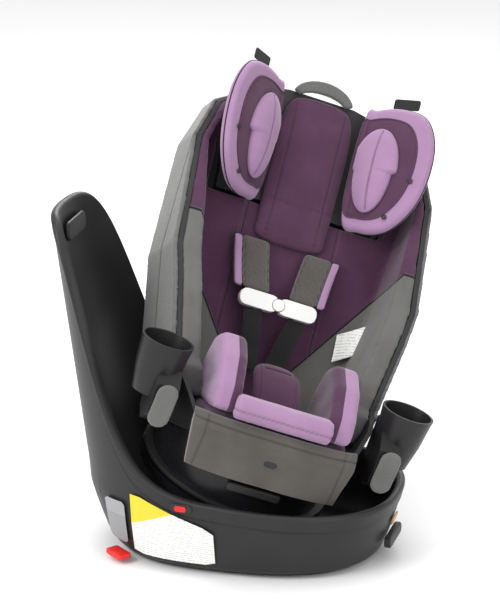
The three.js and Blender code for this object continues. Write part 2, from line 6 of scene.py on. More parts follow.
import bmesh
import bpy
import numpy as np
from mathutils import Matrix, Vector


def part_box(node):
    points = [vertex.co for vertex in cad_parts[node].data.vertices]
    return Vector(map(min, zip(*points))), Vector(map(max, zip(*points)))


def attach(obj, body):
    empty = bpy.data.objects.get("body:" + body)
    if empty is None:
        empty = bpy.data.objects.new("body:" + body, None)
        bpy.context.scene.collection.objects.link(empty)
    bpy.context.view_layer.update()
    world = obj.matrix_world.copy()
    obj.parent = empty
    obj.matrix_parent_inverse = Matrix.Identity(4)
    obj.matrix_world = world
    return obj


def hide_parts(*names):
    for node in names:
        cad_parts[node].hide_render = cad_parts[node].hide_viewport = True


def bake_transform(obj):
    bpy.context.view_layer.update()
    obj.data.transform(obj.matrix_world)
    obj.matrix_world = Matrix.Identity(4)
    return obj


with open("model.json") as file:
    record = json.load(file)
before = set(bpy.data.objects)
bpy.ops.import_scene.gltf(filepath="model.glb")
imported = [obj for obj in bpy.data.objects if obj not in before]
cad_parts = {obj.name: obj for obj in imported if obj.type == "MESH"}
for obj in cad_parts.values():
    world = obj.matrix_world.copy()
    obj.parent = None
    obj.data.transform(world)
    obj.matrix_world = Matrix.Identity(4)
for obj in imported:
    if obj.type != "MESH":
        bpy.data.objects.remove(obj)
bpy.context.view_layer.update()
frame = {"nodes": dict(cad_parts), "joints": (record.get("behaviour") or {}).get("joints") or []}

# ------------------------------------------------------------------ studio
# A plain pale floor with a large soft key light from the left, a broad fill from the right and a rim light
# behind, and a long lens looking slightly down at the seat's open side.

scene = bpy.context.scene


def look_at(origin, target):
    """Rotation that points an object's -Z from origin to target, +Y up."""
    return (Vector(target) - Vector(origin)).to_track_quat("-Z", "Y").to_euler()


def area_light(name, at, target, size, power, colour=(1.0, 1.0, 1.0)):
    data = bpy.data.lights.new(name, "AREA")
    data.shape = "DISK"
    data.size = size
    data.energy = power
    data.color = colour
    lamp = bpy.data.objects.new(name, data)
    lamp.location = at
    lamp.rotation_euler = look_at(at, target)
    scene.collection.objects.link(lamp)


view_azimuth = radians(16.0)
view_elevation = radians(19.0)
view_distance = 5.5
view_target = Vector((-0.017, 0.134, 0.388))
toward_camera = Vector((
    np.sin(view_azimuth) * np.cos(view_elevation),
    -np.cos(view_azimuth) * np.cos(view_elevation),
    np.sin(view_elevation),
))
lens = bpy.data.cameras.new("camera")
lens.sensor_fit = "VERTICAL"
lens.sensor_height = 36.0
lens.lens = 189.2
camera = bpy.data.objects.new("camera", lens)
camera.location = view_target + view_distance * toward_camera
camera.rotation_euler = look_at(camera.location, view_target)
scene.collection.objects.link(camera)
scene.camera = camera

area_light("key", (-1.6, -2.2, 2.4), (0, 0, 0.35), 1.6, 60)
area_light("fill", (2.4, -1.8, 1.5), (0, 0, 0.35), 2.0, 18)
area_light("rim", (-0.4, 2.4, 2.2), (0, 0, 0.5), 1.6, 40)
area_light("top", (0.0, 0.0, 3.2), (0, 0, 0), 2.2, 30)

world = bpy.data.worlds.new("world")
world.use_nodes = True
world.node_tree.nodes["Background"].inputs["Color"].default_value = (1.0, 1.0, 1.0, 1.0)
world.node_tree.nodes["Background"].inputs["Strength"].default_value = 1.0
scene.world = world
scene.view_settings.view_transform = "Standard"


# ------------------------------------------------------------------ floor
# A wide, flat, pale board that fades into the white of the room.

class Wire:
    """A shader socket that can be used in arithmetic: every operator adds a Math node."""

    def __init__(self, tree, socket):
        self.tree = tree
        self.socket = socket

    def math(self, operation, *others):
        made = self.tree.nodes.new("ShaderNodeMath")
        made.operation = operation
        for slot_in, value in zip(made.inputs, (self, *others)):
            plug(self.tree, slot_in, value)
        return Wire(self.tree, made.outputs[0])

    def __add__(self, other):
        return self.math("ADD", other)

    __radd__ = __add__

    def __mul__(self, other):
        return self.math("MULTIPLY", other)

    __rmul__ = __mul__

    def __sub__(self, other):
        return self.math("SUBTRACT", other)

    def __rsub__(self, other):
        return (self * -1.0) + other

    def sine(self):
        return self.math("SINE")

    def size(self):
        return self.math("ABSOLUTE")

    def above(self, edge):
        return self.math("GREATER_THAN", edge)


def plug(tree, socket, value):
    """Links a Wire to a socket, or sets the socket's constant."""
    if isinstance(value, Wire):
        tree.links.new(value.socket, socket)
    else:
        socket.default_value = value


class Paint:
    """A material's node tree, with one method that adds any node."""

    def __init__(self, name):
        self.material = bpy.data.materials.new(name)
        self.material.use_nodes = True
        self.tree = self.material.node_tree
        self.surface = self.tree.nodes["Principled BSDF"]

    def add(self, kind, settings=None, out=0, **values):
        made = self.tree.nodes.new(kind)
        for key, value in (settings or {}).items():
            setattr(made, key, value)
        for key, value in values.items():
            plug(self.tree, made.inputs[key.replace("_", " ")], value)
        return Wire(self.tree, made.outputs[out])

    def mix(self, factor, first, second):
        made = self.tree.nodes.new("ShaderNodeMix")
        made.data_type = "RGBA"
        plug(self.tree, made.inputs[0], factor)
        plug(self.tree, made.inputs[6], first)
        plug(self.tree, made.inputs[7], second)
        return Wire(self.tree, made.outputs[2])

    def place(self):
        return self.add("ShaderNodeTexCoord", out=3)

    def along(self, axis):
        """Distance of the shaded point along a fixed direction, in metres."""
        made = self.tree.nodes.new("ShaderNodeVectorMath")
        made.operation = "DOT_PRODUCT"
        plug(self.tree, made.inputs[0], self.place())
        made.inputs[1].default_value = tuple(axis)
        return Wire(self.tree, made.outputs["Value"])

    def noise(self, scale, detail=3.0, rough=0.55):
        return self.add("ShaderNodeTexNoise", Vector=self.place(), Scale=scale, Detail=detail,
                        Roughness=rough)

    def mark(self, name):
        """A number stored on the mesh's points under this name."""
        return self.add("ShaderNodeAttribute", {"attribute_name": name}, out=2)

    def ramp(self, factor, low, high):
        """0 below low, 1 above high, straight between."""
        made = self.tree.nodes.new("ShaderNodeMapRange")
        plug(self.tree, made.inputs["Value"], factor)
        made.inputs["From Min"].default_value = low
        made.inputs["From Max"].default_value = high
        return Wire(self.tree, made.outputs[0])

    def bump(self, height, strength, distance):
        return self.add("ShaderNodeBump", Height=height, Strength=strength, Distance=distance)

    def finish(self, **values):
        for key, value in values.items():
            plug(self.tree, self.surface.inputs[key.replace("_", " ")], value)
        return self.material


def floor_paint():
    paint = Paint("floor_pale")
    cloud = paint.noise(1.2, 2.0)
    tone = paint.mix(cloud, (0.80, 0.80, 0.80, 1), (0.84, 0.84, 0.84, 1))
    return paint.finish(Base_Color=tone, Roughness=0.75)


def all_smooth(mesh):
    mesh.polygons.foreach_set("use_smooth", np.ones(len(mesh.polygons), bool))


def surface(name, points, material, closed_u=False, closed_v=False):
    """Mesh through a grid of points, shape (rows, columns, 3); closed_u joins the last row to the first."""
    rows, columns = points.shape[:2]
    number = np.arange(rows * columns).reshape(rows, columns)
    if closed_u:
        number = np.vstack([number, number[:1]])
    if closed_v:
        number = np.hstack([number, number[:, :1]])
    quads = np.stack([number[:-1, :-1], number[:-1, 1:], number[1:, 1:], number[1:, :-1]], -1).reshape(-1, 4)
    mesh = bpy.data.meshes.new(name)
    mesh.from_pydata(points.reshape(-1, 3).tolist(), [], quads.tolist())
    mesh.materials.append(material)
    all_smooth(mesh)
    piece = bpy.data.objects.new(name, mesh)
    scene.collection.objects.link(piece)
    return piece


across, away = np.meshgrid(np.linspace(-4.5, 4.5, 60), np.linspace(-4.5, 4.5, 60), indexing="ij")
floor = surface("floor", np.stack([across, away, np.zeros_like(across)], -1), floor_paint())


# ------------------------------------------------------------------ moulded plastics
# The base, cups, buckle and shells are injection-moulded polypropylene: fine spark-eroded grain, a soft satin
# sheen, and slightly lighter cloudy patches. The inside of the tub is smoother and glossier.

def plastic_paint(name, colour, roughness=0.42, grain=900.0, grain_depth=0.25):
    paint = Paint(name)
    speckle = paint.noise(grain, 2.0, 0.6)
    cloud = paint.noise(9.0, 3.0)
    light = tuple(min(1.0, c * 1.25 + 0.004) for c in colour)
    tone = paint.mix(paint.ramp(cloud, 0.3, 0.75), (*colour, 1), (*light, 1))
    shine = cloud * 0.10 + (roughness - 0.05)
    normal = paint.bump(speckle, grain_depth, 0.0004)
    return paint.finish(Base_Color=tone, Roughness=shine, Normal=normal, Specular_IOR_Level=0.30)


base_black = plastic_paint("base_black", (0.014, 0.014, 0.015), 0.44)
tub_black = plastic_paint("tub_black", (0.005, 0.005, 0.006), 0.26, grain=300.0, grain_depth=0.08)
trim_black = plastic_paint("trim_black", (0.018, 0.018, 0.019), 0.48)
cup_black = plastic_paint("cup_black", (0.011, 0.011, 0.012), 0.34)
rubber_black = plastic_paint("rubber_black", (0.012, 0.012, 0.012), 0.85, grain=500.0)
signal_red = plastic_paint("signal_red", (0.62, 0.018, 0.014), 0.32, grain_depth=0.08)
gauge_tan = plastic_paint("gauge_tan", (0.42, 0.25, 0.09), 0.40)
clip_white = plastic_paint("clip_white", (0.66, 0.66, 0.65), 0.30, grain_depth=0.08)


def steel_paint():
    paint = Paint("brushed_steel")
    brushed = paint.noise(420.0, 2.0)
    tone = paint.mix(brushed, (0.40, 0.41, 0.43, 1), (0.60, 0.61, 0.62, 1))
    return paint.finish(Base_Color=tone, Roughness=brushed * 0.25 + 0.22, Metallic=0.95,
                        Normal=paint.bump(brushed, 0.15, 0.0003))


steel = steel_paint()


def give(node, material):
    """Puts a material on a CAD node that is shown as it is."""
    mesh = frame["nodes"][node].data
    mesh.materials.clear()
    mesh.materials.append(material)


def merged_copy(name, node):
    """A new mesh object with a CAD node's shape and its shared corners joined."""
    mesh = bpy.data.meshes.new(name)
    shape = bmesh.new()
    shape.from_mesh(frame["nodes"][node].data)
    bmesh.ops.remove_doubles(shape, verts=shape.verts, dist=2e-5)
    bmesh.ops.recalc_face_normals(shape, faces=shape.faces)
    bmesh.ops.dissolve_limit(shape, angle_limit=radians(1.0), verts=shape.verts, edges=shape.edges)
    shape.to_mesh(mesh)
    shape.free()
    piece = bpy.data.objects.new(name, mesh)
    scene.collection.objects.link(piece)
    return piece


def bevelled(node, material, width, body, smooth_angle=40.0):
    """A CAD node rebuilt with rounded edges and smooth shading: hard moulded pieces."""
    piece = merged_copy(f"{node}_moulded", node)
    piece.data.materials.clear()
    piece.data.materials.append(material)
    bevel = piece.modifiers.new("edges", "BEVEL")
    bevel.width = width
    bevel.segments = 3
    bevel.limit_method = "ANGLE"
    bevel.angle_limit = radians(smooth_angle)
    bevel.harden_normals = False
    all_smooth(piece.data)
    weighted = piece.modifiers.new("shading", "WEIGHTED_NORMAL")
    weighted.keep_sharp = False
    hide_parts(node)
    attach(piece, body)
    return piece


# ------------------------------------------------------------------ base
# One deep moulding: a boat-shaped hull whose rim runs low round the bow and sweeps up the sides into the tall
# rear panel. The rim is a thick rounded band with a parting line under it. The near side carries the lock
# window, the printed labels and the red lock-off tab.

hull_low, hull_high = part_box("base_hull")
panel_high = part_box("rear_panel")[1]
base_length = 2 * hull_high.x
base_width = hull_high.y - hull_low.y
panel_lean = 0.030
foot_height = hull_low.z
bow_height = 0.116
bow_rise = 0.014
panel_top = panel_high.z
base_squareness = 2.5
base_taper = 0.86
base_wall = 0.016
rear_draw = 0.046


def rim_height(angle):
    """Rim height: bow + rise (1 - off) + (panel - bow - rise) / (1 + (off / 0.25)^5), where off is the share of
    a half turn away from the rear."""
    off = np.abs(np.pi - np.abs(angle)) / np.pi
    return bow_height + bow_rise * (1 - off) + (panel_top - bow_height - bow_rise) / (1 + (off / 0.25) ** 5)


def plan(angle, inset, taper):
    """Superellipse |x/a|^n + |y/b|^n = 1 with n = 2.5, drawn in by inset and scaled by taper."""
    c, s = np.cos(angle), np.sin(angle)
    x = np.sign(c) * np.abs(c) ** (2 / base_squareness) * (base_length / 2 - inset) * taper
    y = np.sign(s) * np.abs(s) ** (2 / base_squareness) * (base_width / 2 - inset) * taper
    return x, y


def flare(z):
    """Plan scale at a height: taper + (1 - taper) * (z / bow)^0.7, and 1 above the bow's height."""
    return base_taper + (1 - base_taper) * np.minimum(1.0, np.maximum(z, 0.0) / bow_height) ** 0.7


def base_surface():
    """Rows run round the plan; each row is the wall's section: underside, outer wall, rounded rim, inner
    wall, floor."""
    angle = np.linspace(-np.pi, np.pi, 361)[:-1][:, None]
    rim = rim_height(angle)
    level = np.zeros_like(rim)
    outer_h = np.concatenate([
        np.linspace(0.0, 0.06, 3), np.linspace(0.1, 0.8, 14), np.linspace(0.82, 0.985, 16),
    ])
    roll = np.linspace(0, np.pi, 9)
    sections = []

    def point(inset, z):
        x, y = plan(angle, inset, flare(z))
        lift = np.maximum(0.0, z - 0.15) / (panel_top - 0.15)
        rearward = np.maximum(0.0, -np.cos(angle))
        x = x - panel_lean * lift * rearward + rear_draw * rearward * np.maximum(0.0, 1 - z / panel_top)
        sections.append(np.stack([x, y, z], -1))

    point(0.17, foot_height + level)
    point(0.030, foot_height + level)
    point(0.012, foot_height + level)
    for h in outer_h:
        z = foot_height + 0.004 + (rim - foot_height - 0.012) * h
        below = rim - z
        groove = 0.0022 * np.exp(-((below - 0.030) / 0.0022) ** 2)
        band = -0.0018 * (below < 0.028)
        corner = 0.008 * np.maximum(0.0, 1 - h / 0.06) ** 2
        point(groove + band + corner + 0.0018, z)
    for turn in roll:
        inset = base_wall / 2 - base_wall / 2 * np.cos(turn)
        point(inset, rim - 0.008 + 0.008 * np.sin(turn))
    for h in np.linspace(0.97, 0.25, 12):
        z = foot_height + 0.012 + (rim - foot_height - 0.02) * h
        point(base_wall, z)
    point(base_wall + 0.010, foot_height + 0.018 + level)
    point(base_wall + 0.030, foot_height + 0.012 + level)
    point(0.17, foot_height + 0.012 + level)
    return np.concatenate(sections, axis=1)


def capped(piece):
    """Closes a piece's open ends with flat faces."""
    shape = bmesh.new()
    shape.from_mesh(piece.data)
    bmesh.ops.holes_fill(shape, edges=[e for e in shape.edges if e.is_boundary], sides=0)
    bmesh.ops.recalc_face_normals(shape, faces=shape.faces)
    shape.to_mesh(piece.data)
    shape.free()


base = surface("base_body", base_surface(), base_black, closed_u=True)
capped(base)
all_smooth(base.data)
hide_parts("base_hull", "rear_panel")
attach(base, "base")

for foot in ("foot_pad_rear", "foot_pad_middle", "foot_pad_bow"):
    give(foot, rubber_black)
give("track_plate", tub_black)
bevelled("tether_clip_cover", base_black, 0.004, "base")
bevelled("lock_window", trim_black, 0.0004, "base")
bevelled("lock_indicator", signal_red, 0.0004, "lock_flag")
bevelled("lockoff_tab", signal_red, 0.003, "lockoff")
bevelled("level_gauge", gauge_tan, 0.001, "base")
bevelled("recline_handle", trim_black, 0.003, "recline_pull")


def plate_paint(name, upper, lower, edge, slope):
    """A printed label: a coloured part above a sloping edge, and rows of blank grey bars below it."""
    paint = Paint(name)
    height = paint.along((slope, 0.0, 1.0))
    rows = (paint.along((0.0, 0.0, 1.0)) * 1450.0).sine()
    words = paint.noise(260.0, 1.0)
    bars = rows.above(0.35) * words.above(0.46)
    printed = paint.mix(bars * 0.55, (*lower, 1), (0.30, 0.30, 0.30, 1))
    tone = paint.mix(height.above(edge), printed, (*upper, 1))
    return paint.finish(Base_Color=tone, Roughness=0.42, Normal=paint.bump(words, 0.05, 0.0002))


warning_film = plate_paint("warning_film", (0.80, 0.56, 0.02), (0.78, 0.78, 0.76), 0.138, -0.42)
instruction_film = plate_paint("instruction_film", (0.30, 0.30, 0.31), (0.24, 0.24, 0.25), 0.09, 0.0)
bevelled("warning_plate", warning_film, 0.0003, "base")
bevelled("instruction_plate", instruction_film, 0.0008, "base")

# ------------------------------------------------------------------ cradle and turntable
# The cradle rocks on two curved runners and carries a steel bearing ring; the round disc and the lower seat
# body turn on it. All are smooth black mouldings that are seen only down inside the tub.

give("recline_cradle", tub_black)
give("bearing_ring", steel)
give("rotation_lock_pin", steel)
bevelled("turntable_disc", base_black, 0.0015, "seat")
bevelled("seat_pedestal", tub_black, 0.006, "seat")
bevelled("rotation_lever", trim_black, 0.003, "turn_lever")
bevelled("seat_shell", trim_black, 0.002, "seat")


# ------------------------------------------------------------------ seat frames
# Two straight frames place everything soft, the cushion's and the back's. Both hang off the turntable's axis,
# the back's leans away from the cushion plane, and the headrest is placed in the back's.

joint = {j["name"]: j for j in frame["joints"]}
seat_up = Vector(joint["seat_turn"]["axis"])
seat_ahead = Vector(joint["rotation_lever_pull"]["axis"])
seat_left = seat_up.cross(seat_ahead)
back_up = Vector(joint["headrest_height"]["axis"])
back_out = -Vector(joint["chest_clip_press"]["axis"])
back_angle = radians(16)
cushion_ahead = (back_out * np.cos(back_angle) - back_up * np.sin(back_angle)).normalized()
cushion_up = cushion_ahead.cross(seat_left)
cushion_origin = Vector(joint["seat_turn"]["pos_m"]) - 0.077 * seat_ahead + 0.036 * seat_up
back_origin = cushion_origin + 0.010 * cushion_ahead


def cushion_place(x, y, z):
    """Points of the cushion frame (ahead, left, up) in the seat's own space."""
    return (np.array(cushion_origin) + np.multiply.outer(x, cushion_ahead) + np.multiply.outer(y, seat_left)
            + np.multiply.outer(z, cushion_up))


def back_place(x, y, z):
    """Points of the back frame (out of the back, left, up the back)."""
    return (np.array(back_origin) + np.multiply.outer(x, back_out) + np.multiply.outer(y, seat_left)
            + np.multiply.outer(z, back_up))


# ------------------------------------------------------------------ fabrics
# Brushed polyester over foam in a light and a dark mauve, a woven grey on the outside, a ribbed warm grey for
# the harness pads, and tight black nylon webbing. Cut panels meet in topstitched seams.

def cloth_paint(name, colour, weave=2600.0, weave_depth=0.35, fade=0.18, sheen=0.35, roughness=0.88,
                ribs=0.0):
    """Cloth: two crossed waves for the weave, cloudy wear in the colour, and painted shade in the stitched
    grooves.
    """
    paint = Paint(name)
    fibre = paint.noise(1400.0, 3.0, 0.7)
    cloud = paint.noise(16.0, 4.0)
    warp = (paint.along((0.80, 0.52, 0.30)) * weave).sine()
    weft = (paint.along((-0.42, 0.78, -0.46)) * weave).sine()
    dark = tuple(c * (1.0 - fade) for c in colour)
    light = tuple(min(1.0, c * (1.0 + fade) + 0.005) for c in colour)
    tone = paint.mix(paint.ramp(cloud * 0.7 + fibre * 0.3, 0.32, 0.68), (*dark, 1), (*light, 1))
    # painted shade: the colour darkens in the stitched grooves, by the groove depth stored on the mesh
    shaded_seam = paint.mark("shaded_seam")
    tone = paint.mix(shaded_seam * 0.62, tone, tuple(c * 0.35 for c in colour) + (1,))
    height = warp * 0.25 + weft * 0.25 + fibre * 0.8
    if ribs:
        height = height + (paint.mark("across") * ribs).sine() * 1.6
    normal = paint.bump(height, weave_depth, 0.0006)
    soft = paint.bump(paint.noise(34.0, 2.0), 0.22, 0.004)
    plug(paint.tree, normal.socket.node.inputs["Normal"], soft)
    return paint.finish(Base_Color=tone, Roughness=cloud * 0.08 + (roughness - 0.04), Sheen_Weight=sheen,
                        Sheen_Roughness=0.45, Specular_IOR_Level=0.2, Normal=normal)


light_mauve = cloth_paint("light_mauve_cloth", (0.300, 0.175, 0.300), fade=0.06)
dark_mauve = cloth_paint("dark_mauve_cloth", (0.070, 0.027, 0.060), fade=0.16, sheen=0.25)
woven_grey = cloth_paint("woven_grey_cloth", (0.112, 0.112, 0.108), weave=1900.0, weave_depth=0.55, fade=0.11)
warm_grey = cloth_paint("warm_grey_cloth", (0.075, 0.068, 0.062), weave=2200.0, fade=0.14)
ribbed_grey = cloth_paint("ribbed_grey_cloth", (0.085, 0.078, 0.070), weave=2000.0, weave_depth=0.8,
                          ribs=2200.0)
piping_black = cloth_paint("piping_black", (0.012, 0.011, 0.012), fade=0.1, sheen=0.15, roughness=0.7)
webbing_black = cloth_paint("webbing_black", (0.014, 0.014, 0.015), weave=3600.0, weave_depth=0.9, sheen=0.1,
                            roughness=0.62, ribs=5200.0)


def point_number(piece, name, values):
    """Stores one number per point under a name the materials read."""
    stored = piece.data.attributes.new(name, "FLOAT", "POINT")
    stored.data.foreach_set("value", np.asarray(values, np.float32).ravel())


def closed_pad(name, outline, place, base_height, crown, edge, material, groove=None, rings=34,
               wrinkle=0.0):
    """Padded panel over an outline (N, 2): its underside lies flat at base_height, its edge is a half round
    of height edge, and its face rises by crown * (1 - r^2.4)^0.8 from rim (r = 1) to middle (r = 0).
    groove(u, v) gives the depth of a stitched line, and wrinkle the height of folds that fade by r^6."""
    middle = outline.mean(axis=0)
    inward = 1.0 - np.linspace(0, 1, rings) ** 1.6
    r_top = np.sort(inward)
    r_top[0] = 0.002
    turn = np.linspace(0, np.pi, 9)[1:-1]
    size = np.abs(outline - middle).max()
    r_edge = 1 - (edge / 2) / size * (1 - np.sin(turn))
    rows = []
    scale = 1 - (edge / 2) / size
    for r in r_top:
        flat = middle + (outline - middle) * r * scale
        lift = crown * (1 - r ** 2.4) ** 0.8
        rows.append((flat, base_height + edge + lift, np.full(len(outline), r)))
    for r, a in zip(r_edge, turn):
        rows.append((middle + (outline - middle) * r, base_height + edge / 2 + edge / 2 * np.cos(a), None))
    for r in r_top[::-1]:
        rows.append((middle + (outline - middle) * r * scale, base_height, None))
    uv = np.array([row[0] for row in rows])
    height = np.array([np.broadcast_to(row[1], len(outline)) for row in rows]).astype(float)
    face = np.zeros(height.shape)
    face[:rings] = 1.0
    u, v = uv[..., 0], uv[..., 1]
    # the groove depth is also stored on the points, for painted shade in the grooves
    mark = np.zeros(height.shape)
    if groove is not None:
        depth = groove(u, v) * face
        height = height - depth
        mark = np.clip(depth / max(depth.max(), 1e-6), 0, 1)
    if wrinkle:
        fold = (np.sin(u * 95 + 1.7 * np.sin(v * 60)) * np.sin(v * 70 + 1.3 * np.sin(u * 40))) * wrinkle
        height[:rings] -= fold[:rings] * r_top[:, None] ** 6
    piece = surface(name, place(u, v, height), material, closed_v=True)
    shape = bmesh.new()
    shape.from_mesh(piece.data)
    shape.verts.ensure_lookup_table()
    count = len(outline)
    for row in (0, len(rows) - 1):
        shape.faces.new([shape.verts[row * count + i] for i in range(count)])
    bmesh.ops.recalc_face_normals(shape, faces=shape.faces)
    shape.to_mesh(piece.data)
    shape.free()
    all_smooth(piece.data)
    point_number(piece, "shaded_seam", mark)
    point_number(piece, "across", v)
    return piece


def evenly(line, count):
    """Evenly spaced points round a closed line."""
    looped = np.vstack([line, line[:1]])
    run = np.concatenate([[0], np.cumsum(np.linalg.norm(np.diff(looped, axis=0), axis=1))])
    even = np.linspace(0, run[-1], count, endpoint=False)
    return np.stack([np.interp(even, run, looped[:, k]) for k in (0, 1)], -1)


def smooth_outline(corners, count=120):
    """A closed Catmull-Rom curve through corners, resampled to evenly spaced points."""
    corners = np.array(corners, float)
    n = len(corners)
    t = np.linspace(0, n, 40 * n, endpoint=False)
    i = t.astype(int)
    f = (t - i)[:, None]
    a, b, c, d = (corners[(i + k) % n] for k in (-1, 0, 1, 2))
    line = 0.5 * ((2 * b) + (c - a) * f + (2 * a - 5 * b + 4 * c - d) * f ** 2
                  + (3 * b - a - 3 * c + d) * f ** 3)
    return evenly(line, count)


def cord_along(name, path, radius, material, sides=10):
    """Round cord of constant radius carried round a closed path (N, 3), each ring square to the path."""
    ahead = np.roll(path, -1, 0) - np.roll(path, 1, 0)
    ahead = ahead / np.linalg.norm(ahead, axis=1, keepdims=True)
    aside = np.cross(ahead, np.array([0.31, 0.43, 0.85]))
    aside = aside / np.linalg.norm(aside, axis=1, keepdims=True)
    third = np.cross(ahead, aside)
    angle = np.linspace(0, 2 * np.pi, sides, endpoint=False)
    ring = path[:, None] + radius * (np.cos(angle)[None, :, None] * aside[:, None]
                                     + np.sin(angle)[None, :, None] * third[:, None])
    piece = surface(name, ring, material, closed_u=True, closed_v=True)
    point_number(piece, "shaded_seam", np.zeros(len(piece.data.vertices)))
    return piece


def line_groove(distance, width, depth):
    """Depth of a stitched groove at a distance from its line: depth * exp(-(distance / width)^2)."""
    return depth * np.exp(-(distance / width) ** 2)


# ------------------------------------------------------------------ headrest
# A centre pad with two deep side wings in two-tone mauve: light outer band and rim, dark inner panel, and a
# lens-shaped light pillow poppered inside each wing. A grey pull arch stands at the top, and all of it slides
# together.

head_half = 0.068
wing_splay = radians(46)
wing_at = (0.027, head_half + 0.007, 0.496)
wing_outline = smooth_outline(np.array([
    (0.000, -0.086), (0.040, -0.112), (0.092, -0.105), (0.132, -0.060), (0.149, 0.0),
    (0.146, 0.064), (0.119, 0.110), (0.070, 0.124), (0.020, 0.118), (0.000, 0.100),
]))


def wing_place(hand):
    """Wing frame of one side: u ahead along the wing, v up it, w off its inner face toward the head."""
    c, s = np.cos(wing_splay), np.sin(wing_splay)

    def place(u, v, w):
        x = wing_at[0] + u * c + w * s
        y = wing_at[1] + u * s - w * c
        return back_place(x, hand * y, wing_at[2] + v)
    return place


def head_side(side, hand):
    place = wing_place(hand)
    rim = wing_outline
    middle = rim.mean(axis=0)

    outer_shell = closed_pad(f"wing_band_{side}", rim, lambda u, v, w: place(u, v, -w), 0.0005, 0.011, 0.021,
                             light_mauve, wrinkle=0.0004)
    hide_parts(f"headrest_wing_{side}")
    panel = middle + (rim - middle) * 0.80 - np.array([0.011, 0.0])
    inner = closed_pad(f"wing_panel_{side}", panel, place, -0.0060, 0.004, 0.0070, dark_mauve, wrinkle=0.0004,
                       groove=lambda u, v: line_groove(np.abs(u - 0.015), 0.0012, 0.0010))
    ring = place(panel[:, 0], panel[:, 1], np.full(len(panel), 0.0006))
    pipe = cord_along(f"wing_piping_{side}", ring, 0.0016, dark_mauve)
    edge = place(rim[:, 0] * 0.998, rim[:, 1] * 0.998, np.full(len(rim), -0.0115))
    outer_pipe = cord_along(f"wing_edge_piping_{side}", edge, 0.0014, piping_black)
    angle = np.linspace(0, 2 * np.pi, 110, endpoint=False)
    lens_u = 0.048 + 0.046 * np.cos(angle) * np.where(np.sin(angle) < 0, 0.8, 1.0)
    lens = np.stack([np.maximum(lens_u, 0.008), 0.079 * np.sin(angle)], -1)
    pillow = closed_pad(f"head_pillow_soft_{side}", lens, place, 0.0025, 0.013, 0.0095, light_mauve,
                        wrinkle=0.0006, groove=lambda u, v: line_groove(np.abs(u - 0.052), 0.0016, 0.0026))
    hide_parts(f"head_pillow_{side}")
    pieces = [outer_shell, inner, pipe, outer_pipe, pillow]
    for number, (u, v) in enumerate(((0.122, -0.012), (0.088, -0.082))):
        turn = np.linspace(0, 2 * np.pi, 32, endpoint=False)
        disc = np.stack([u + 0.0048 * np.cos(turn), v + 0.0048 * np.sin(turn)], -1)
        snap = closed_pad(f"wing_snap_{side}_{number}", disc, place, 0.0018, 0.0008, 0.0016, trim_black,
                          rings=10)
        pieces.append(snap)
    for piece in pieces:
        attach(piece, "headrest")


head_side("left", 1)
head_side("right", -1)

head_outline = smooth_outline([
    (-0.052, 0.335), (0.052, 0.335), (0.064, 0.370), (0.067, 0.450), (0.067, 0.540), (0.058, 0.586),
    (0.034, 0.603), (-0.034, 0.603), (-0.058, 0.586), (-0.067, 0.540), (-0.067, 0.450), (-0.064, 0.370),
], 160)
head_pad = closed_pad(
    "head_pad_soft", head_outline, lambda u, v, w: back_place(w, u, v), 0.0008, 0.011, 0.0105, dark_mauve,
    wrinkle=0.0005,
    groove=lambda u, v: line_groove(np.abs(np.abs(u) - 0.046 - 0.02 * (v - 0.47) ** 2), 0.0014, 0.0016)
    + line_groove(np.abs(v - 0.405 - 0.9 * u ** 2), 0.0014, 0.0012),
)
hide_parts("headrest_pad")
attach(head_pad, "headrest")

give("headrest_shell", trim_black)
handle_fabric = bevelled("headrest_handle", woven_grey, 0.004, "headrest_squeeze")
bevelled("wing_tab_left", webbing_black, 0.0006, "headrest")
bevelled("wing_tab_right", webbing_black, 0.0006, "headrest")


# ------------------------------------------------------------------ bucket lining
# A quilted cover over thin foam lines the plastic bucket: back, side walls and the turn down behind the
# cushion. Its cut panels meet in piped seams, and low at the sides it changes to the woven grey.

def remeshed(name, node, voxel, rounds, puff, material, body, groove=None, frame_axes=None, wrinkle=0.0):
    """A soft solid from a CAD node: even small faces, corners relaxed by averaging neighbours, then pushed out
    by puff along its normals, less groove(x, y, z) in its own frame, plus a slow wrinkle."""
    piece = merged_copy(name, node)
    grid = piece.modifiers.new("grid", "REMESH")
    grid.mode = "VOXEL"
    grid.voxel_size = voxel
    relax = piece.modifiers.new("relax", "SMOOTH")
    relax.factor = 0.5
    relax.iterations = rounds
    bpy.context.view_layer.update()
    soft = bpy.data.meshes.new_from_object(piece.evaluated_get(bpy.context.evaluated_depsgraph_get()))
    piece.modifiers.clear()
    piece.data = soft
    soft.materials.clear()
    soft.materials.append(material)
    count = len(soft.vertices)
    at = np.empty(count * 3)
    out = np.empty(count * 3)
    soft.vertices.foreach_get("co", at)
    soft.vertex_normals.foreach_get("vector", out)
    at, out = at.reshape(-1, 3), out.reshape(-1, 3)
    origin, axes = frame_axes
    local = (at - np.array(origin)) @ np.array([list(axis) for axis in axes]).T
    lift = np.full(count, puff)
    # the groove depth is also stored on the points, for painted shade in the grooves
    mark = np.zeros(count)
    if groove is not None:
        depth = groove(*local.T)
        lift = lift - depth
        mark = np.clip(depth / max(depth.max(), 1e-6), 0, 1)
    if wrinkle:
        x, y, z = local.T
        lift = lift + wrinkle * np.sin(x * 70 + 2 * np.sin(z * 38)) * np.sin(z * 55 + 2 * np.sin(y * 41)) \
            * np.sin(y * 48 + 1.0)
    soft.vertices.foreach_set("co", (at + out * lift[:, None]).ravel())
    all_smooth(soft)
    soft.update()
    point_number(piece, "shaded_seam", mark)
    point_number(piece, "across", local[:, 1])
    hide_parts(node)
    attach(piece, body)
    return piece


back_axes = (back_origin, (back_out, seat_left, back_up))
cushion_axes = (cushion_origin, (cushion_ahead, seat_left, cushion_up))


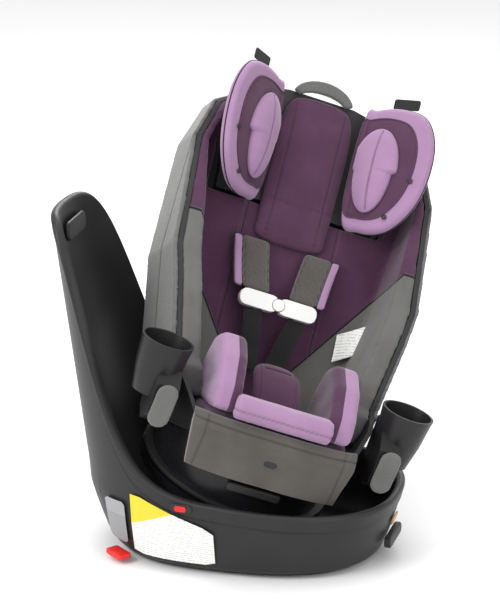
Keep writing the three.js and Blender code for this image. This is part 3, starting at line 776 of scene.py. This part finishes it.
def lining_paint():
    """Dark mauve cloth that turns grey below a sloping line, with a black cord drawn along the line and a
    topstitched seam at each side of the back panel, its groove darkened with painted shade."""
    paint = Paint("lining_cloth")
    out_of_back = paint.along(back_out) - float(back_origin.dot(back_out))
    side = (paint.along(seat_left) - float(back_origin.dot(seat_left))).size()
    up = paint.along(back_up) - float(back_origin.dot(back_up))
    edge = up - (side.math("MINIMUM", 0.19) * 1.43 + 0.029) - out_of_back.math("MAXIMUM", 0.0) * 0.16
    grey_part = paint.ramp(edge * -1.0, 0.0, 0.0006)
    cord = paint.ramp(edge.size() * -1.0, -0.0032, -0.0022)
    # painted shade: the seam groove beside the stitches is darkened, and bumped in below
    seam_line = (side - 0.086).size()
    shaded_seam = paint.ramp(seam_line * -1.0, -0.0016, -0.0004) * (1.0 - grey_part)
    stitches = paint.ramp((up * 1150.0).sine(), -0.2, 0.2)
    stitched = paint.ramp(((side - 0.092).size()) * -1.0, -0.0009, -0.0004) * stitches * (1.0 - grey_part)
    cloud = paint.noise(16.0, 4.0)
    fibre = paint.noise(1400.0, 3.0, 0.7)
    blend_factor = paint.ramp(cloud * 0.7 + fibre * 0.3, 0.32, 0.68)
    mauve = paint.mix(blend_factor, (0.056, 0.021, 0.048, 1), (0.082, 0.032, 0.070, 1))
    grey = paint.mix(blend_factor, (0.098, 0.097, 0.094, 1), (0.124, 0.123, 0.118, 1))
    tone = paint.mix(grey_part, mauve, grey)
    tone = paint.mix(cord, tone, (0.010, 0.010, 0.010, 1))
    tone = paint.mix(shaded_seam * 0.8, tone, (0.022, 0.010, 0.020, 1))
    tone = paint.mix(stitched * 0.7, tone, (0.16, 0.07, 0.15, 1))
    warp = (paint.along((0.80, 0.52, 0.30)) * 2600.0).sine()
    weft = (paint.along((-0.42, 0.78, -0.46)) * 2600.0).sine()
    fine = paint.bump(warp * 0.25 + weft * 0.25 + fibre * 0.8, 0.35, 0.0006)
    lines = paint.bump(shaded_seam * -1.0 + cord * 1.2 + stitched * 0.25, 0.9, 0.0022)
    soft = paint.bump(paint.noise(22.0, 2.0), 0.25, 0.006)
    plug(paint.tree, lines.socket.node.inputs["Normal"], soft)
    plug(paint.tree, fine.socket.node.inputs["Normal"], lines)
    return paint.finish(Base_Color=tone, Roughness=cloud * 0.08 + 0.84, Sheen_Weight=0.25,
                        Sheen_Roughness=0.45, Specular_IOR_Level=0.2, Normal=fine)


lining = remeshed("bucket_lining", "back_cover", 0.0042, 8, 0.0006, lining_paint(), "seat",
                  frame_axes=back_axes, wrinkle=0.0006)

tag_paint = plate_paint("tag_film", (0.78, 0.60, 0.03), (0.74, 0.74, 0.72), 0.352, 0.0)


def sewn_tag():
    """Small printed tag sewn into the cord on the left wall: a thin sheet, gently curled off the lining."""
    u, v = np.meshgrid(np.linspace(0, 1, 24), np.linspace(0, 1, 24), indexing="ij")
    y = 0.128 + 0.056 * u
    z = 0.206 - 0.052 * v + 0.034 * u
    x = 0.004 + 0.006 * np.sin(np.pi * 0.5 * v) + 0.030 * u ** 3
    front = back_place(x, y, z)
    behind = back_place(x - 0.0006, y, z)
    loop = np.concatenate([front, behind[:, ::-1]], axis=1)
    piece = surface("sewn_tag", loop, tag_paint, closed_v=True)
    capped(piece)
    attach(piece, "seat")


sewn_tag()

# ------------------------------------------------------------------ outer side covers
# Woven grey stretch covers wrap the outside of the bucket, with one seam down the middle of each side. They
# hook over the plastic shell's edges.

def side_cover(side):
    piece = remeshed(f"outer_cover_{side}", f"side_cover_{side}", 0.0036, 4, 0.0006, woven_grey, "seat",
                     groove=lambda x, y, z: line_groove(np.abs(x - 0.055 - 0.10 * (z - 0.3)), 0.0022, 0.0020),
                     frame_axes=back_axes)


side_cover("left")
side_cover("right")

# ------------------------------------------------------------------ cushion, insert and apron
# A dark seat cushion, and on it the infant insert in light mauve: two hip bolsters with dark inner faces joined
# by a front roll. Below the roll a warm grey apron closes the front, round the harness adjuster's button.

seat_soft = remeshed("seat_cushion_soft", "seat_cushion", 0.0044, 10, 0.0020, dark_mauve, "seat",
                     groove=lambda x, y, z: line_groove(np.abs(x - 0.090 - 1.4 * y ** 2), 0.0030, 0.0030)
                     * (z > 0.02), frame_axes=cushion_axes, wrinkle=0.0005)
roll_soft = remeshed("front_roll_soft", "insert_front_roll", 0.0030, 14, 0.0032, light_mauve, "seat",
                     groove=lambda x, y, z: line_groove(np.abs(z - 0.046), 0.0014, 0.0012) * (x > 0.27),
                     frame_axes=cushion_axes, wrinkle=0.0006)


def bolster_paint():
    """Light mauve with a dark inner face: the colour follows the distance from the middle of the seat."""
    paint = Paint("bolster_cloth")
    side = (paint.along(seat_left) - float(cushion_origin.dot(seat_left))).size()
    cloud = paint.noise(16.0, 4.0)
    fibre = paint.noise(1400.0, 3.0, 0.7)
    factor = paint.ramp(cloud * 0.7 + fibre * 0.3, 0.32, 0.68)
    light = paint.mix(factor, (0.285, 0.166, 0.285, 1), (0.318, 0.187, 0.318, 1))
    dark = paint.mix(factor, (0.056, 0.021, 0.048, 1), (0.082, 0.032, 0.070, 1))
    inner = paint.ramp(side * -1.0, -0.0955, -0.0950)
    # painted shade: a dark line in the bumped seam groove where the light and dark cloth meet
    line = paint.ramp((side - 0.0955).size() * -1.0, -0.0013, -0.0006)
    tone = paint.mix(inner, light, dark)
    tone = paint.mix(line * 0.8, tone, (0.03, 0.012, 0.028, 1))
    warp = (paint.along((0.80, 0.52, 0.30)) * 2600.0).sine()
    fine = paint.bump(warp * 0.4 + fibre * 0.8 - line * 1.5, 0.4, 0.0009)
    return paint.finish(Base_Color=tone, Roughness=cloud * 0.08 + 0.84, Sheen_Weight=0.35,
                        Sheen_Roughness=0.45, Specular_IOR_Level=0.2, Normal=fine)


bolster_cloth = bolster_paint()
for side in ("left", "right"):
    bolster = remeshed(f"hip_bolster_{side}", f"insert_bolster_{side}", 0.0030, 26, 0.0060, bolster_cloth,
                       "seat", frame_axes=cushion_axes, wrinkle=0.0007)


def apron_surface():
    """Rows run across (-1 to 1), columns down and round the sheet's section. The section leaves the roll, comes
    forward over the cushion's nose and falls to the turntable; the ends curve back as 0.020 |across|^3."""
    across = np.linspace(-1, 1, 121)[:, None]
    section = smooth_outline([
        (0.2700, 0.0250), (0.2780, 0.0255), (0.2860, 0.0205), (0.2905, 0.0080), (0.2915, -0.0060),
        (0.2860, -0.0230), (0.2770, -0.0450), (0.2690, -0.0680), (0.2660, -0.0690), (0.2590, -0.0670),
        (0.2640, -0.0430), (0.2700, -0.0200), (0.2740, 0.0000), (0.2725, 0.0150),
    ], 120)
    out, up = section[None, :, 0], section[None, :, 1]
    x = out - 0.020 * np.abs(across) ** 3 - 0.0016 * np.cos(across * 9.0) * (up < 0.0)
    y = across * (0.1445 - 0.012 * np.clip(-up / 0.07, 0, 1))
    z = up + 0.004 * np.abs(across) ** 4
    # the seam grooves' depth is also returned as the mark for painted shade in them
    shaded_seam = line_groove(np.abs(up - 0.012), 0.0016, 0.0016)
    shaded_seam = shaded_seam + line_groove(np.abs(np.abs(y) - 0.122), 0.0016, 0.0014)
    return cushion_place(x - shaded_seam, y, z), shaded_seam / 0.0016


apron_points, apron_mark = apron_surface()
apron_soft = surface("apron_soft", apron_points, warm_grey, closed_v=True)
capped(apron_soft)
point_number(apron_soft, "shaded_seam", apron_mark)
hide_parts("front_apron")
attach(apron_soft, "seat")
bevelled("harness_release_button", trim_black, 0.0012, "strap_release")

# ------------------------------------------------------------------ cup holders
# Round tapering black cups whose moulded arms plug down beside the cushion. A woven grey pad is let into each
# arm.

for side, body in (("left", "cup_left"), ("right", "cup_right")):
    bevelled(f"cup_holder_{side}", cup_black, 0.0022, body, 30.0)
    inlay = remeshed(f"cup_inlay_soft_{side}", f"cup_inlay_{side}", 0.0020, 5, 0.0005, woven_grey, body,
                     frame_axes=cushion_axes)


# ------------------------------------------------------------------ harness
# Five-point harness of nylon webbing. A white chest clip joins the shoulder straps; ribbed grey comfort pads
# sit on them, each with a mauve strip down its outer side; the lower parts run to a buckle under the crotch
# pad.

webbing_width = 0.034


def webbing_strip(name, path, width, thick, hand):
    """Flat strap along a smooth path of (out, left, up) rows: its section is a rounded rectangle width by
    thick, square to its own run."""
    path = np.array(path, float)
    t = np.linspace(0, len(path) - 1, 90)
    line = np.stack([np.interp(t, np.arange(len(path)), path[:, k]) for k in range(3)], -1)
    kernel = np.hanning(25) / np.hanning(25).sum()
    padded_line = np.vstack([np.repeat(line[:1], 12, 0), line, np.repeat(line[-1:], 12, 0)])
    line = np.stack([np.convolve(padded_line[:, k], kernel, "valid") for k in range(3)], -1)
    line[0], line[-1] = path[0, :3], path[-1, :3]
    ahead = np.gradient(line, axis=0)
    ahead = ahead / np.linalg.norm(ahead, axis=1, keepdims=True)
    side = np.cross(ahead, np.array([1.0, 0.0, 0.0]))
    side = side / np.linalg.norm(side, axis=1, keepdims=True)
    face = np.cross(side, ahead)
    angle = np.linspace(0, 2 * np.pi, 28, endpoint=False)
    across = np.sign(np.cos(angle)) * np.abs(np.cos(angle)) ** 0.35 * width / 2
    up = np.sign(np.sin(angle)) * np.abs(np.sin(angle)) ** 0.6 * thick / 2
    ring = line[:, None] + across[None, :, None] * side[:, None] + up[None, :, None] * face[:, None]
    grid = back_place(ring[..., 0], hand * ring[..., 1], ring[..., 2])
    piece = surface(name, grid, webbing_black, closed_v=True)
    capped(piece)
    all_smooth(piece.data)
    point_number(piece, "shaded_seam", np.zeros(len(piece.data.vertices)))
    point_number(piece, "across", np.broadcast_to(across, ring.shape[:2]))
    return piece


def shoulder_pad_place(hand, offset):
    """Pad frame of one side: u across, v up from the lower end in metres, w out of the back."""
    def place(u, v, w):
        run = v / 0.096
        x = 0.033 - 0.023 * run - 0.004 * np.sin(np.pi * np.clip(run, 0, 1)) + w
        y = 0.044 + 0.016 * run + u + offset
        return back_place(x, hand * y, 0.232 + v)
    return place


def rounded(width, height, radius, count=130):
    """Rounded rectangle from (-width/2, 0) to (width/2, height), evenly spaced points."""
    turn = np.linspace(0, np.pi / 2, 14)
    corner = np.stack([np.cos(turn), np.sin(turn)], -1) * radius
    parts = []
    centres = ((width / 2 - radius, height - radius), (-width / 2 + radius, height - radius),
               (-width / 2 + radius, radius), (width / 2 - radius, radius))
    for number, (cx, cy) in enumerate(centres):
        a = number * np.pi / 2
        spin = np.array([[np.cos(a), np.sin(a)], [-np.sin(a), np.cos(a)]])
        parts.append(corner @ spin + np.array([cx, cy]))
    return evenly(np.vstack(parts), count)


for side, hand in (("left", 1), ("right", -1)):
    lower = webbing_strip(f"lower_webbing_{side}", [
        (0.0225, 0.022, 0.094), (0.0275, 0.028, 0.130), (0.0395, 0.036, 0.172), (0.0440, 0.042, 0.196),
    ], webbing_width, 0.0028, hand)
    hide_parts(f"lower_strap_{side}")
    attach(lower, "seat")
    upper = webbing_strip(f"shoulder_webbing_{side}", [
        (0.0330, 0.0425, 0.200), (0.0330, 0.0435, 0.215), (0.0330, 0.0440, 0.2300),
    ], webbing_width, 0.0026, hand)
    tuple(back_place(0.033, hand * 0.043, 0.212))
    tuple(back_place(0.033, hand * 0.044, 0.2300))
    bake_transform(upper)
    pad_outline = rounded(0.051, 0.095, 0.008)
    pad = closed_pad(f"shoulder_pad_soft_{side}", pad_outline, shoulder_pad_place(hand, 0.0), 0.001, 0.003,
                     0.0095, ribbed_grey,
                     groove=lambda u, v: line_groove(np.abs(np.abs(u) - 0.0215), 0.0010, 0.0010))
    point = pad.data.attributes["across"]
    local = np.empty(len(pad.data.vertices) * 3)
    pad.data.vertices.foreach_get("co", local)
    spread = (local.reshape(-1, 3) - np.array(back_origin)) @ np.array(list(seat_left)) * hand
    point.data.foreach_set("value", spread.astype(np.float32))
    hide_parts(f"shoulder_pad_{side}")
    strip_outline = rounded(0.0135, 0.094, 0.004, 90)
    strip = closed_pad(f"shoulder_pad_strip_{side}", strip_outline, shoulder_pad_place(hand, 0.0330), 0.001,
                       0.002, 0.0080, light_mauve)
    rim_line = rounded(0.0150, 0.096, 0.0045, 90)
    welt = cord_along(f"shoulder_pad_welt_{side}", shoulder_pad_place(hand, 0.0330)(
        rim_line[:, 0], rim_line[:, 1] - 0.001, np.full(len(rim_line), 0.004)), 0.0015, piping_black)
    for piece in (pad, strip, welt):
        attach(piece, "headrest")
    bevelled(f"chest_clip_{side}", clip_white, 0.0022, "seat")
bevelled("chest_clip_button", clip_white, 0.0010, "clip_press")
bevelled("crotch_buckle", trim_black, 0.0022, "seat")
bevelled("buckle_button", signal_red, 0.0012, "buckle_press")

crotch_outline = rounded(0.084, 0.110, 0.034, 150)


def crotch_place(u, v, w):
    """Flap standing up from the cushion and leaning back over the buckle: v runs up it, w through it."""
    run = np.clip(v / 0.110, 0, 1)
    lean_back = radians(48) * run
    x = 0.196 - 0.110 * run * np.sin(radians(18) + lean_back * 0.72)
    z = 0.0405 + 0.110 * run * np.cos(radians(18) + lean_back * 0.60)
    turn = radians(18) + lean_back * 1.1
    return cushion_place(x + w * np.cos(turn), u, z + w * np.sin(turn))


def crotch_groove(u, v):
    """A short stitched line across the top, and one down each edge."""
    across_top = np.abs(v - 0.088) + 1000 * np.maximum(0, np.abs(u) - 0.024)
    return line_groove(across_top, 0.0022, 0.0034) + line_groove(np.abs(np.abs(u) - 0.032), 0.0016, 0.0012)


crotch = closed_pad("crotch_pad_soft", crotch_outline, crotch_place, 0.0, 0.005, 0.0100, dark_mauve,
                    wrinkle=0.0004, groove=crotch_groove)
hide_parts("crotch_pad")
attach(crotch, "seat")
